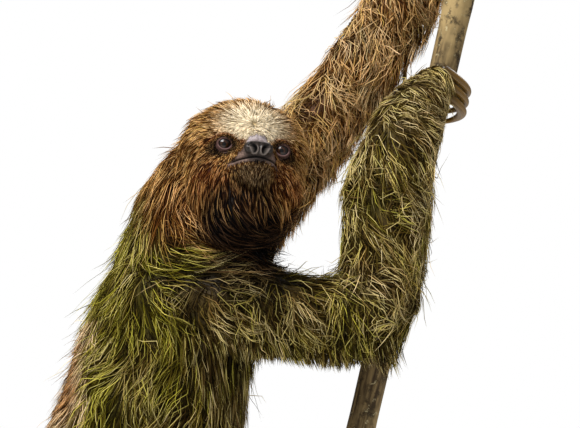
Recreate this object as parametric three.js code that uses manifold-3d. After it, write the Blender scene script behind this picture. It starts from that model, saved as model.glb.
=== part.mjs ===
// A brown-throated three-toed sloth at life size, climbing a slanting bare pole, with its face
// turned to the side over its right shoulder, on a plain display stand.
//
// Millimetres. The origin is the centre of the base's underside. +Z is up, +X runs from the animal's
// back to the pole that it climbs, and -Y is the side that its face looks to.
// Flesh solids reach out to the tips of the coat. Each limb and the spine is one loft of oval rings
// along a curve, parted by thin cuts at its joints.
import * as THREE from "three";
import { mergeVertices } from "three/addons/utils/BufferGeometryUtils.js";
import Module from "manifold-3d";

const wasm = await Module();
wasm.setup();

// ---------------------------------------------------------------- driving dimensions

const GAP = 0.35; // left between touching solids
const CUT = 0.4; // width of a parting cut
const CUT_REACH = 4.4; // how far across it goes, in half widths of the limb
const SHARD = 0.01; // a smaller share of a limb, cut off inside a tight bend, is left out

const PERCH_RADIUS = 10;
const PERCH_FOOT = new THREE.Vector3(20, 0, 106); // middle of the sawn lower end
const PERCH_LEAN = 12.9; // degrees from upright, towards +X
const PERCH_LENGTH = 786;

const BASE = { length: 400, width: 300, thickness: 18, corner: 22, bevel: 3 };
const POST_RADIUS = 6;
const POST_INSET = 30; // how far the post goes up into the perch
const FLANGE = { radius: 24, thickness: 5 };

const EYE_SPAN = 39.5; // between the centres of the eyes
const EYE_RADIUS = 6.2;
const HEAD_TURN = { yaw: 13.5, pitch: 24, roll: 7 }; // degrees: aside, nose up, left eye down
const EYE_LINE = new THREE.Vector3(15, -78, 606); // midway between the eyes

const CLAW = { width: 6.5, height: 8.6, tip: 1.2 };
const CLAW_WRAP = { sweep: 178, drop: 24, fall: 0.95 }; // degrees round the perch, and how it drops meanwhile
const CLAW_ARCH = { root: 9, rise: 1.2, close: 7.5 }; // its middle line off the perch, and how its tip closes in
const CLAW_SPACING = 7.1; // from one claw up to the next

// ---------------------------------------------------------------- solids and shapes

const point = (x, y, z) => new THREE.Vector3(x, y, z);

function solidOf(geometry) {
  const bare = new THREE.BufferGeometry().setAttribute("position", geometry.getAttribute("position"));
  if (geometry.index) bare.setIndex(geometry.index);
  const merged = mergeVertices(bare, 1e-3);
  return new wasm.Manifold(
    new wasm.Mesh({
      numProp: 3,
      vertProperties: new Float32Array(merged.attributes.position.array),
      triVerts: new Uint32Array(merged.index.array),
    }),
  );
}

function geometryOf(solid) {
  const mesh = solid.getMesh();
  const geometry = new THREE.BufferGeometry()
    .setAttribute("position", new THREE.BufferAttribute(mesh.vertProperties, 3))
    .setIndex(new THREE.BufferAttribute(mesh.triVerts, 1));
  geometry.computeVertexNormals();
  return geometry;
}

function biggest(solid) {
  return solid.decompose().reduce((a, b) => (b.volume() > a.volume() ? b : a));
}

// Oval rings along a smooth curve, closed by domes. Each station is [x, y, z, half width, half depth];
// side is the way the width runs. grow adds to every half size.
function loft(stations, { side, sides = 16, steps = 12, domes = 2, dome = 1, endDome = dome, grow = 0 }) {
  const centres = new THREE.CatmullRomCurve3(stations.map(([x, y, z]) => point(x, y, z)));
  const halves = new THREE.CatmullRomCurve3(stations.map(([, , , a, b = a]) => point(a, b, 0)));
  const positions = [];
  const rings = [];
  const addRing = (t, along, scale) => {
    const tangent = centres.getTangent(t);
    const u = side.clone().addScaledVector(tangent, -side.dot(tangent)).normalize();
    const v = tangent.clone().cross(u);
    const half = halves.getPoint(t);
    const middle = centres.getPoint(t).addScaledVector(tangent, along * (Math.min(half.x, half.y) + grow));
    const ring = [];
    for (let i = 0; i < sides; i += 1) {
      const angle = (2 * Math.PI * i) / sides;
      const vertex = middle
        .clone()
        .addScaledVector(u, (half.x + grow) * scale * Math.cos(angle))
        .addScaledVector(v, (half.y + grow) * scale * Math.sin(angle));
      ring.push(positions.push(vertex) - 1);
    }
    rings.push(ring);
  };
  const tip = (t, along) => {
    const half = halves.getPoint(t);
    const reach = along * (Math.min(half.x, half.y) + grow);
    return positions.push(centres.getPoint(t).addScaledVector(centres.getTangent(t), reach)) - 1;
  };
  for (let i = domes; i >= 1; i -= 1) {
    const rise = (Math.PI / 2) * (i / (domes + 1));
    addRing(0, -dome * Math.sin(rise), Math.cos(rise));
  }
  for (let i = 0; i <= steps; i += 1) addRing(i / steps, 0, 1);
  for (let i = 1; i <= domes; i += 1) {
    const rise = (Math.PI / 2) * (i / (domes + 1));
    addRing(1, endDome * Math.sin(rise), Math.cos(rise));
  }
  const first = tip(0, -dome);
  const last = tip(1, endDome);
  const faces = [];
  for (let i = 0; i < sides; i += 1) {
    const next = (i + 1) % sides;
    faces.push(first, rings[0][next], rings[0][i]);
    for (let r = 0; r + 1 < rings.length; r += 1) {
      const [a, b, c, d] = [rings[r][i], rings[r][next], rings[r + 1][next], rings[r + 1][i]];
      faces.push(a, b, c, a, c, d);
    }
    faces.push(last, rings.at(-1)[i], rings.at(-1)[next]);
  }
  return new THREE.BufferGeometry().setFromPoints(positions).setIndex(faces);
}

// Cuts a limb's solid across at the given places among its stations (2.5 is halfway between the third and
// the fourth) and returns the lengths in order along the limb.
function parted(solid, stations, cuts) {
  const curve = new THREE.CatmullRomCurve3(stations.map(([x, y, z]) => point(x, y, z)));
  let left = solid;
  for (const cut of cuts) {
    const t = cut / (stations.length - 1);
    const turn = new THREE.Quaternion().setFromUnitVectors(point(0, 0, 1), curve.getTangent(t));
    const reach = CUT_REACH * stations[Math.floor(cut)][3];
    const slab = new THREE.BoxGeometry(reach, reach, CUT).applyQuaternion(turn);
    left = left.subtract(solidOf(slab.translate(...curve.getPoint(t).toArray())));
  }
  const marks = curve.getPoints(200);
  const place = (piece) => {
    const { min, max } = piece.boundingBox();
    const middle = point(...min).add(point(...max)).multiplyScalar(0.5);
    const distances = marks.map((mark) => mark.distanceTo(middle));
    return distances.indexOf(Math.min(...distances));
  };
  const pieces = left.decompose().filter((piece) => piece.volume() > SHARD * solid.volume());
  if (pieces.length !== cuts.length + 1) {
    const boxes = pieces.map((piece) => `${piece.volume().toFixed()} round ${piece.boundingBox().min}`);
    throw new Error(`a limb came apart in ${pieces.length} pieces: ${boxes.join("; ")}`);
  }
  return pieces.sort((a, b) => place(a) - place(b));
}

// ---------------------------------------------------------------- perch and stand

const perchAxis = point(Math.sin(rad(PERCH_LEAN)), 0, Math.cos(rad(PERCH_LEAN)));
const perchFront = point(perchAxis.z, 0, -perchAxis.x); // square to the axis, towards +X

function rad(degrees) {
  return THREE.MathUtils.degToRad(degrees);
}

// A point off the perch's axis: at a height above the floor, turned from +X towards +Y.
function aroundPerch(height, degrees, radius) {
  const along = (height - PERCH_FOOT.z) / perchAxis.z;
  return PERCH_FOOT.clone()
    .addScaledVector(perchAxis, along)
    .addScaledVector(perchFront, radius * Math.cos(rad(degrees)))
    .add(point(0, radius * Math.sin(rad(degrees)), 0));
}

// A bare stem, a little thicker at its foot and at two old knots, with sawn ends.
function perchGeometry(grow = 0) {
  const rings = 10;
  const profile = [new THREE.Vector2(0, -grow)];
  for (let i = 0; i <= rings; i += 1) {
    const share = i / rings;
    const knots = 0.9 * Math.exp(-(((share - 0.37) / 0.02) ** 2)) + 0.8 * Math.exp(-(((share - 0.79) / 0.02) ** 2));
    const end = i === 0 ? -grow : i === rings ? grow : 0;
    profile.push(new THREE.Vector2(PERCH_RADIUS + 0.7 * (0.5 - share) + knots + grow, share * PERCH_LENGTH + end));
  }
  profile.push(new THREE.Vector2(0, PERCH_LENGTH + grow));
  const stem = new THREE.LatheGeometry(profile, 16).rotateX(Math.PI / 2);
  return stem.rotateY(rad(PERCH_LEAN)).translate(PERCH_FOOT.x, PERCH_FOOT.y, PERCH_FOOT.z);
}

// A round rod along the perch's axis, from inside the flange up into the perch.
function postGeometry(grow = 0) {
  const foot = -(PERCH_FOOT.z - BASE.thickness - FLANGE.thickness / 2) / perchAxis.z;
  const length = POST_INSET - foot;
  const rod = new THREE.CylinderGeometry(POST_RADIUS + grow, POST_RADIUS + grow, length + 2 * grow, 24);
  rod.rotateX(Math.PI / 2).translate(0, 0, foot + length / 2);
  return rod.rotateY(rad(PERCH_LEAN)).translate(PERCH_FOOT.x, PERCH_FOOT.y, PERCH_FOOT.z);
}

function flangeGeometry() {
  const { radius, thickness } = FLANGE;
  const outline = [
    [0, 0],
    [radius, 0],
    [radius, thickness - 1.5],
    [radius - 1.5, thickness],
    [0, thickness],
  ].map(([r, h]) => new THREE.Vector2(r, h));
  const x = PERCH_FOOT.x - (PERCH_FOOT.z - BASE.thickness) * Math.tan(rad(PERCH_LEAN));
  return new THREE.LatheGeometry(outline, 24).rotateX(Math.PI / 2).translate(x, 0, BASE.thickness + GAP);
}

function baseGeometry() {
  const { length, width, thickness, corner, bevel } = BASE;
  const [x, y, r] = [length / 2 - bevel, width / 2 - bevel, corner - bevel];
  const outline = new THREE.Shape();
  outline.absarc(x - r, y - r, r, 0, Math.PI / 2);
  outline.absarc(-x + r, y - r, r, Math.PI / 2, Math.PI);
  outline.absarc(-x + r, -y + r, r, Math.PI, 1.5 * Math.PI);
  outline.absarc(x - r, -y + r, r, 1.5 * Math.PI, 2 * Math.PI);
  return new THREE.ExtrudeGeometry(outline, {
    depth: thickness - 2 * bevel,
    bevelThickness: bevel,
    bevelSize: bevel,
    bevelSegments: 1,
    curveSegments: 5,
  }).translate(0, 0, bevel);
}

// ---------------------------------------------------------------- head

// The head's own frame: x out of the nose, y to the animal's left, z up, from midway between the eyes.
function headMatrix() {
  const { yaw, pitch, roll } = HEAD_TURN;
  const facing = new THREE.Quaternion().setFromAxisAngle(point(0, 0, 1), rad(yaw - 90));
  const raised = new THREE.Quaternion().setFromAxisAngle(point(0, 1, 0), -rad(pitch));
  const tilted = new THREE.Quaternion().setFromAxisAngle(point(1, 0, 0), -rad(roll));
  const turn = facing.multiply(raised).multiply(tilted);
  return new THREE.Matrix4().compose(EYE_LINE, turn, point(1, 1, 1));
}

// Egg shapes that the head's surface is drawn over: [x, y, z, half length, half width, half height].
const HEAD_FORMS = [
  [-34, 0, 8, 42, 43, 40], // cranium with its swept-back hair
  [3, 0, -12, 21, 17, 12.5], // muzzle
  [1, 0, -20, 17, 15, 10], // chin
  [-27, 18, -20, 31, 25, 29], // left cheek
  [-27, -18, -20, 31, 25, 29], // right cheek
  [-26, 0, -39, 33, 35, 29], // throat
];
const EYE_DENT = { depth: 3.2, spread: 9.5 };
const BLEND = 9; // how softly the forms run into each other

function eggDistance(p, [x, y, z, a, b, c]) {
  const q = point((p.x - x) / a, (p.y - y) / b, (p.z - z) / c);
  const steep = point(q.x / a, q.y / b, q.z / c).length();
  return (q.length() * (q.length() - 1)) / Math.max(steep, 1e-6);
}

function softMin(a, b) {
  const h = THREE.MathUtils.clamp(0.5 + (0.5 * (b - a)) / BLEND, 0, 1);
  return b + (a - b) * h - BLEND * h * (1 - h);
}

function headDistance(p, grow) {
  const forms = HEAD_FORMS.map((form) => eggDistance(p, form)).reduce(softMin);
  const dents = [-1, 1].map((s) => {
    const off = p.distanceTo(point(3, (s * EYE_SPAN) / 2, -0.5));
    return EYE_DENT.depth * Math.exp(-((off / EYE_DENT.spread) ** 2));
  });
  return forms + dents[0] + dents[1] - grow;
}

// A ball whose vertices are drawn out along their rays to the outermost place where the head's surface is.
function headGeometry(grow = 0, detail = 6) {
  const heart = point(-20, 0, -10);
  const reach = 90;
  const ball = new THREE.IcosahedronGeometry(1, detail);
  const at = ball.getAttribute("position");
  for (let i = 0; i < at.count; i += 1) {
    const ray = new THREE.Vector3().fromBufferAttribute(at, i).normalize();
    const along = (d) => heart.clone().addScaledVector(ray, d);
    let outside = reach;
    let inside = reach;
    while (headDistance(along(inside), grow) > 0) {
      outside = inside;
      inside -= 1.5;
    }
    for (let k = 0; k < 12; k += 1) {
      const middle = (inside + outside) / 2;
      if (headDistance(along(middle), grow) > 0) outside = middle;
      else inside = middle;
    }
    at.setXYZ(i, ...along(inside).toArray());
  }
  return ball;
}

function eyeGeometry(side, grow = 0) {
  const ball = new THREE.IcosahedronGeometry(EYE_RADIUS + grow, 2);
  return ball.translate(-1.2, (side * EYE_SPAN) / 2, 0);
}

const NOSE = { at: [22, 0, -8.8], half: [4.6, 9.2, 6.2] };

function noseGeometry(grow = 0) {
  const [a, b, c] = NOSE.half;
  return new THREE.IcosahedronGeometry(1, 2).scale(a + grow, b + grow, c + grow).translate(...NOSE.at);
}

// The closed mouth: a lens-shaped slit, cut only a little way into the muzzle.
function mouthSolid() {
  const lens = new THREE.SphereGeometry(1, 20, 6).scale(30, 21, 0.8);
  lens.rotateY(rad(13)).translate(0, 0, -13.8);
  return solidOf(lens).subtract(solidOf(headGeometry(-2.2, 5)));
}

// ---------------------------------------------------------------- body

const SIDEWAYS = point(0, 1, 0);
const TRUNK_TO_NECK = [
  [-84, -8, 226, 61, 60],
  [-89, -8, 264, 73, 71],
  [-84, -8, 325, 78, 77],
  [-61, -10, 404, 73, 72],
  [-46, -12, 464, 71, 67],
  [-30, -14, 518, 60, 58],
  [-12, -24, 566, 52, 52],
  [0, -30, 592, 42, 42],
];
const NECK_CUT = [5.5];

const TAIL = [
  [-108, -8, 205, 27],
  [-129, -8, 176, 21],
  [-136, -8, 149, 13],
];

// Each limb: its stations from the root to the knuckles, where it's parted, and its grip on the perch.
const LIMBS = {
  arm_right: {
    names: ["arm_right_upper", "arm_right_fore", "hand_right"],
    stations: [
      [-48, -50, 502, 34],
      [-8, -60, 500, 36],
      [38, -58, 494, 33],
      [80, -53, 488, 32],
      [102, -48, 508, 34],
      [105, -43, 566, 36],
      [115, -39, 606, 31],
      [126, -35, 630, 25],
      [139, -25, 650, 16.5],
    ],
    side: point(0, 1, 0.05),
    cuts: [3.2, 6.3],
    grip: { height: 654, start: -95, way: 1 },
    claws: "claw_right_fore",
  },
  arm_left: {
    names: ["arm_left_upper", "arm_left_fore", "hand_left"],
    stations: [
      [-24, 26, 524, 34],
      [4, 38, 552, 34],
      [45, 43, 604, 32],
      [85, 45, 658, 30],
      [119, 40, 711, 29],
      [146, 33, 760, 26],
      [164, 28, 790, 23],
      [179, 24, 806, 18],
    ],
    side: point(0, 1, 0),
    cuts: [3, 5.6],
    grip: { height: 812, start: 95, way: -1 },
    claws: "claw_left_fore",
  },
  leg_right: {
    names: ["leg_right_thigh", "leg_right_shank", "foot_right"],
    stations: [
      [-84, -34, 246, 46],
      [-45, -72, 246, 43],
      [2, -96, 232, 33],
      [14, -74, 196, 29],
      [11, -45, 168, 25],
      [18, -32, 152, 20],
      [30, -25, 144, 16],
    ],
    side: point(0.49, 0.62, 0.56),
    cuts: [2, 4],
    grip: { height: 146, start: -80, way: 1 },
    claws: "claw_right_hind",
  },
  leg_left: {
    names: ["leg_left_thigh", "leg_left_shank", "foot_left"],
    stations: [
      [-80, 22, 256, 46],
      [-46, 60, 280, 42],
      [2, 90, 298, 33],
      [20, 72, 262, 29],
      [24, 46, 235, 25],
      [33, 32, 221, 20],
      [46, 25, 213, 16],
    ],
    side: point(-0.25, 0.76, -0.6),
    cuts: [2, 4],
    grip: { height: 215, start: 80, way: -1 },
    claws: "claw_left_hind",
  },
};

// One hooked claw: from inside the knuckles round the perch, thick at its root and pointed at its tip.
function clawGeometry({ height, start, way }, index) {
  const { sweep, drop, fall } = CLAW_WRAP;
  const stations = [];
  const steps = 6;
  for (let i = 0; i <= steps; i += 1) {
    const share = i / steps;
    const degrees = start + way * sweep * share;
    const arch = CLAW_ARCH.root + CLAW_ARCH.rise * Math.sin(Math.PI * share) - CLAW_ARCH.close * share ** 3;
    const level = height + index * CLAW_SPACING - drop * share ** fall;
    const centre = aroundPerch(level, degrees, PERCH_RADIUS + arch);
    const taper = 1 - share ** 2.2;
    stations.push([
      ...centre.toArray(),
      CLAW.tip / 2 + (taper * (CLAW.width - CLAW.tip)) / 2,
      CLAW.tip / 2 + (taper * (CLAW.height - CLAW.tip)) / 2,
    ]);
  }
  return loft(stations, { side: perchAxis, sides: 6, steps: 8, domes: 1 });
}

// ---------------------------------------------------------------- putting it together

const COAT = { back: "#5f5a2a", belly: "#4a3a20", arm: "#8f7c4c", face: "#b3905a", rust: "#7a4522" };
const finish = {
  coat: (color) => new THREE.MeshStandardMaterial({ color, roughness: 0.9, metalness: 0 }),
  claw: new THREE.MeshStandardMaterial({ color: "#a5874a", roughness: 0.4, metalness: 0 }),
  eye: new THREE.MeshStandardMaterial({ color: "#1c120c", roughness: 0.05, metalness: 0 }),
  nose: new THREE.MeshStandardMaterial({ color: "#2b2523", roughness: 0.45, metalness: 0 }),
  perch: new THREE.MeshStandardMaterial({ color: "#8d7c56", roughness: 0.8, metalness: 0 }),
  post: new THREE.MeshStandardMaterial({ color: "#8b8d8f", roughness: 0.35, metalness: 1 }),
  base: new THREE.MeshStandardMaterial({ color: "#4a3526", roughness: 0.5, metalness: 0 }),
};

const sloth = new THREE.Group();

function place(name, solid, material, parent = sloth) {
  const mesh = new THREE.Mesh(geometryOf(solid), material);
  mesh.name = name;
  parent.add(mesh);
  return mesh;
}

function buildStand() {
  const post = solidOf(postGeometry());
  const base = new THREE.Mesh(baseGeometry(), finish.base);
  base.name = "stand_base";
  sloth.add(base);
  place("stand_flange", solidOf(flangeGeometry()).subtract(solidOf(postGeometry(GAP))), finish.post);
  place("stand_post", post, finish.post);
  place("perch", solidOf(perchGeometry()).subtract(solidOf(postGeometry(GAP))), finish.perch);
}

// Returns the head's outer solid in the model's frame, grown by GAP, for its neighbours to be cut by.
function buildHead() {
  const group = new THREE.Group();
  group.applyMatrix4(headMatrix());
  sloth.add(group);
  let head = solidOf(headGeometry()).subtract(mouthSolid()).subtract(solidOf(noseGeometry(GAP)));
  for (const side of [-1, 1]) head = head.subtract(solidOf(eyeGeometry(side, GAP)));
  place("head", biggest(head), finish.coat(COAT.face), group);
  place("nose", solidOf(noseGeometry()), finish.nose, group);
  place("eye_right", solidOf(eyeGeometry(-1)), finish.eye, group);
  place("eye_left", solidOf(eyeGeometry(1)), finish.eye, group);
  return solidOf(headGeometry(GAP).applyMatrix4(headMatrix()));
}

function buildSpine(headSpace) {
  const shape = (grow) => solidOf(loft(TRUNK_TO_NECK, { side: SIDEWAYS, sides: 20, steps: 17, domes: 3, grow }));
  const [trunk, neck] = parted(biggest(shape(0).subtract(headSpace)), TRUNK_TO_NECK, NECK_CUT);
  place("trunk", trunk, finish.coat(COAT.back));
  place("neck", neck, finish.coat(COAT.rust));
  return shape(GAP);
}

function buildTail(spineSpace) {
  const shape = (grow) => solidOf(loft(TAIL, { side: SIDEWAYS, sides: 12, steps: 5, grow }));
  place("tail", biggest(shape(0).subtract(spineSpace)), finish.coat(COAT.back));
  return shape(GAP);
}

function buildLimb({ names, stations, side, cuts, grip, claws }, neighbours, perchSpace) {
  const shape = (grow) => solidOf(loft(stations, { side, sides: 12, steps: 14, grow }));
  let limb = shape(0);
  for (const space of [...neighbours, perchSpace]) limb = limb.subtract(space);
  const lengths = parted(biggest(limb), stations, cuts);
  const colours = [COAT.back, COAT.arm, COAT.arm];
  lengths.forEach((length, i) => place(names[i], length, finish.coat(colours[i])));
  const handSpace = shape(GAP);
  for (const index of [-1, 0, 1]) {
    const claw = solidOf(clawGeometry(grip, index)).subtract(handSpace).subtract(perchSpace);
    place(`${claws}_${index + 2}`, biggest(claw), finish.claw);
  }
}

buildStand();
const perchSpace = solidOf(perchGeometry(GAP));
const headSpace = buildHead();
const spineSpace = buildSpine(headSpace);
const tailSpace = buildTail(spineSpace);
for (const limb of Object.values(LIMBS)) {
  buildLimb(limb, [spineSpace, headSpace, tailSpace], perchSpace);
}

export default sloth;
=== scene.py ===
# %% [markdown]
# # A three-toed sloth on a bare stem
# This lesson dresses a life-size museum model: a brown-throated three-toed sloth that climbs a slanting
# stem and looks over its right shoulder. The construction (its pose, its sizes and its stand) comes packed
# as a frame of plain solids, which reach out to the tips of the coat. Here they get skin, a coat of solid
# hairs, eyes, a nose, horn claws, bark and a finished stand. All lengths in Blender are metres; the
# constants below are in millimetres where their name ends in _MM.

# %% load the frame
from math import cos, pi, radians, sin, tan

import bpy
import numpy as np
from mathutils import Matrix, Vector, kdtree
from mathutils.bvhtree import BVHTree


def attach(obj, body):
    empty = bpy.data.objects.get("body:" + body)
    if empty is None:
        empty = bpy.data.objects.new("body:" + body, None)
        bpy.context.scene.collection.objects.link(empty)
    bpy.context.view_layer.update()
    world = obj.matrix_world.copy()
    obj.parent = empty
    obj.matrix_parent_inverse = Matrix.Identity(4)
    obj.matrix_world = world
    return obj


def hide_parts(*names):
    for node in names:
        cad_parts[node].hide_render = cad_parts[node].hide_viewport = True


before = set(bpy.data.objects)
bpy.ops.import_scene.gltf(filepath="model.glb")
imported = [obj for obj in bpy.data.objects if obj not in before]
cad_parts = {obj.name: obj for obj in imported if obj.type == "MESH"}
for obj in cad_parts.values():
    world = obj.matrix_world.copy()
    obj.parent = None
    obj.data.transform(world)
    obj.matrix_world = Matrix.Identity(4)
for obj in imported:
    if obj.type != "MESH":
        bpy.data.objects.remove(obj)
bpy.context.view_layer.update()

MM = 0.001
rng = np.random.default_rng(20)

# %% [markdown]
# ## Working by hand, in code
# Blender's operators act on whatever is selected, and the frame arrives selected, so each piece starts
# with nothing selected. Colours are written as the sRGB hex that a colour picker shows, and one function
# turns them to the linear values that shaders use.

# %% small helpers


def linear(hex_colour):
    """An sRGB hex colour as linear red, green, blue and full alpha."""
    parts = [int(hex_colour[i:i + 2], 16) / 255 for i in (1, 3, 5)]
    return (*[c / 12.92 if c <= 0.04045 else ((c + 0.055) / 1.055) ** 2.4 for c in parts], 1.0)


def switch_mode(mode):
    bpy.ops.object.mode_set(mode=mode)


def deselect():
    if bpy.context.mode != "OBJECT":
        switch_mode("OBJECT")
    bpy.ops.object.select_all(action="DESELECT")


def make_active(piece):
    deselect()
    piece.select_set(True)
    bpy.context.view_layer.objects.active = piece


def edit_whole(piece):
    """Opens a piece in edit mode with all of it selected."""
    make_active(piece)
    switch_mode("EDIT")
    bpy.ops.mesh.select_all(action="SELECT")


def apply_modifier(piece, kind, **settings):
    """Adds a modifier with its settings and applies it at once."""
    make_active(piece)
    modifier = piece.modifiers.new(kind.lower(), kind)
    for name, value in settings.items():
        setattr(modifier, name, value)
    bpy.ops.object.modifier_apply(modifier=modifier.name)


def read(items, field, width=3, kind=float):
    """A field of a mesh's vertices, edges or corners as an array with a row for each."""
    flat = np.empty(width * len(items), dtype=kind)
    items.foreach_get(field, flat)
    return flat.reshape(-1, width)


def points_of(piece):
    return read(piece.data.vertices, "co")


def set_points(piece, points):
    piece.data.vertices.foreach_set("co", np.ascontiguousarray(points, dtype=np.float32).ravel())
    piece.data.update()


def unit(vectors):
    return vectors / np.maximum(np.linalg.norm(vectors, axis=-1, keepdims=True), 1e-9)


def fade(value, low, high):
    """0 below low, 1 above high and a soft rise between; low may be above high."""
    t = np.clip((value - low) / (high - low), 0, 1)
    return t * t * (3 - 2 * t)


def added(operator, **settings):
    """Runs an adding operator with nothing selected, and gives the object that it made."""
    deselect()
    operator(**settings)
    return bpy.context.active_object


def apply_place(piece):
    make_active(piece)
    bpy.ops.object.transform_apply(location=True, rotation=True, scale=True)


def new_piece(name, mesh):
    piece = bpy.data.objects.new(name, mesh)
    bpy.context.collection.objects.link(piece)
    return piece


def finish_piece(piece, name, material, replaced=(), smooth=lambda face: True):
    """Names a finished piece, gives it its material and hangs it on the model."""
    piece.name = piece.data.name = name
    piece.data.materials.clear()
    piece.data.materials.append(material)
    piece.data.polygons.foreach_set("use_smooth", [smooth(face) for face in piece.data.polygons])
    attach(piece, "root")
    if replaced:
        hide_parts(*replaced)
    return piece


def loft(name, rings, hoop=False):
    """A closed mesh through rings of points: with a fan at each end, or bent to a hoop."""
    count, sides = rings.shape[:2]
    here = np.arange(count * sides).reshape(count, sides)
    after = np.roll(here, -1, axis=1)
    walls = np.stack([here, after, np.roll(after, -1, axis=0), np.roll(here, -1, axis=0)], axis=-1)
    faces = walls[:count if hoop else count - 1].reshape(-1, 4).tolist()
    points = rings.reshape(-1, 3)
    if not hoop:
        points = np.concatenate([points, rings[[0, -1]].mean(axis=1)])
        faces += [[a, b, count * sides] for a, b in zip(after[0], here[0])]
        faces += [[a, b, count * sides + 1] for a, b in zip(here[-1], after[-1])]
    mesh = bpy.data.meshes.new(name)
    mesh.from_pydata(points, [], faces)
    piece = new_piece(name, mesh)
    edit_whole(piece)
    bpy.ops.mesh.normals_make_consistent(inside=False)
    switch_mode("OBJECT")
    return piece


def store(piece, name, values):
    """Keeps numbers on a piece's vertices: three as a vector, four as a colour."""
    kind, field = ("FLOAT_COLOR", "color") if values.shape[1] == 4 else ("FLOAT_VECTOR", "vector")
    layer = piece.data.attributes.new(name, kind, "POINT")
    layer.data.foreach_set(field, np.ascontiguousarray(values, dtype=np.float32).ravel())


# %% [markdown]
# ## Nodes with one helper
# Every shader below is drawn with `add`: it puts in a node, sets its properties, and fills its sockets
# from values, hex colours or other nodes' outputs. A finish is then painted as by hand: a ground colour,
# and coats over it that each show where a mask grows from one value to another.

# %% helpers for shader nodes


def add(tree, kind, inputs=None, **settings):
    """A new shader node; inputs maps a socket's name or number to a value or to another node's output."""
    new = tree.nodes.new("ShaderNode" + kind)
    for name, value in settings.items():
        setattr(new, name, value)
    for key, value in (inputs or {}).items():
        if isinstance(value, bpy.types.NodeSocket):
            tree.links.new(value, new.inputs[key])
        else:
            new.inputs[key].default_value = linear(value) if isinstance(value, str) else value
    return new


def new_material(name, roughness=0.6, **sockets):
    """A material with its node tree and its surface shader, whose own sockets get the constants."""
    material = bpy.data.materials.new(name)
    material.use_nodes = True
    surface = material.node_tree.nodes["Principled BSDF"]
    surface.inputs["Roughness"].default_value = roughness
    for socket, value in sockets.items():
        surface.inputs[socket.replace("_", " ")].default_value = value
    return material, material.node_tree, surface


def paint(tree, ground, *coats):
    """Lays coats over a ground colour; each is (mask, where it starts, where it covers, colour)."""
    for mask, low, high, colour in coats:
        amount = add(tree, "MapRange", {0: mask, 1: low, 2: high}).outputs[0]
        ground = add(tree, "Mix", {0: amount, 6: ground, 7: colour}, data_type="RGBA").outputs[2]
    return ground


def cover(tree, surface, colour, height=None, strength=0.3, depth_mm=0.2):
    """Gives a surface its colour and, from a height between 0 and 1, its fine relief."""
    tree.links.new(colour, surface.inputs["Base Color"])
    if height is not None:
        relief = add(tree, "Bump", {"Strength": strength, "Distance": depth_mm * MM, "Height": height})
        tree.links.new(relief.outputs[0], surface.inputs["Normal"])


def numbers(tree, name):
    """The three numbers that are kept on a piece's vertices under a name."""
    kept = add(tree, "Attribute", attribute_name=name).outputs["Vector"]
    return add(tree, "SeparateXYZ", {0: kept}).outputs


def speckle(tree, scale_per_m, detail=3.0, stretch=(1, 1, 1), rough=0.5):
    """Noise over the object's own coordinates; its scale is the number of waves in a metre."""
    place = add(tree, "TexCoord").outputs["Object"]
    place = add(tree, "Mapping", {"Vector": place, "Scale": stretch}).outputs[0]
    settings = {"Vector": place, "Scale": scale_per_m, "Detail": detail, "Roughness": rough}
    return add(tree, "TexNoise", settings).outputs["Fac"]


# %% [markdown]
# ## Where the head is
# The head has its own frame: x out of the nose, y to the animal's left, z up, in millimetres from midway
# between the eyes. From straight over the right shoulder it is turned a little back towards the stem,
# nose up and with its left eye lower.

# %% the head's frame
EYE_LINE_MM = (15, -78, 606)
YAW, PITCH, ROLL = 13.5, 24, 7
EYE_SPAN_MM = 39.5

head_turn = (Matrix.Rotation(radians(YAW - 90), 4, "Z") @ Matrix.Rotation(radians(-PITCH), 4, "Y")
             @ Matrix.Rotation(radians(-ROLL), 4, "X"))
HEAD_ROTATION = np.array(head_turn.to_3x3())
HEAD_ORIGIN = np.array(EYE_LINE_MM)


def from_head(local_mm):
    """Head coordinates in millimetres to the model's, in metres."""
    return (local_mm @ HEAD_ROTATION.T + HEAD_ORIGIN) * MM


def to_head(points):
    """The model's coordinates in metres to the head's, in millimetres."""
    return (points / MM - HEAD_ORIGIN) @ HEAD_ROTATION


GRAVITY_IN_HEAD = np.array([0, 0, -1]) @ HEAD_ROTATION
print("gravity in the head's frame", GRAVITY_IN_HEAD.round(2))

# %% [markdown]
# ## The head's skin
# A sloth's head is a round skull with a flat face, a short blunt muzzle, heavy cheeks and a full throat.
# Sculpting it by pushing single vertices would be hard to read, so the form is a sum of eggs that melt
# into each other. An icosphere is added, its vertices are gathered towards the face, and each one is
# drawn in along its ray until it meets the form. Grooves and folds are small changes of that distance.

# %% the form of the head
HEAD_EGGS = [  # centre and half sizes: x, y, z, length, width, height
    (-34, 0, 7.5, 40, 41, 36.5),  # skull
    (-9, 0, 1, 15, 27, 17),  # flat face
    (2, 0, -12, 20.3, 15.5, 10.5),  # muzzle
    (9, 0, -2, 10, 7.5, 7.5),  # bridge of the nose
    (0, 0, -20, 15.5, 12.5, 8.0),  # chin
    (-25, 17, -17, 26, 20, 23),  # left cheek
    (-25, -17, -17, 26, 20, 23),  # right cheek
    (-27, 0, -35, 26, 27, 24),  # throat
]
MELT_MM = 7
EYE_MM = {"x": -1.6, "z": -0.6, "ball": 6.0, "dome": 6.9, "pit": 5.7}
EYE_AIM = np.array([0.93, 0.06, -0.36])  # where the left eye's opening points
MOUTH_SLOPE = tan(radians(13))


def egg(p, form):
    """Roughly the distance of points from an egg's surface, below zero inside."""
    centre, half = np.array(form[:3]), np.array(form[3:])
    q = (p - centre) / half
    length = np.linalg.norm(q, axis=1)
    return length * (length - 1) / np.maximum(np.linalg.norm(q / half, axis=1), 1e-6)


def melt(a, b, width):
    """Two forms joined with a soft seam."""
    h = np.clip(0.5 + 0.5 * (b - a) / width, 0, 1)
    return b + (a - b) * h - width * h * (1 - h)


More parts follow.
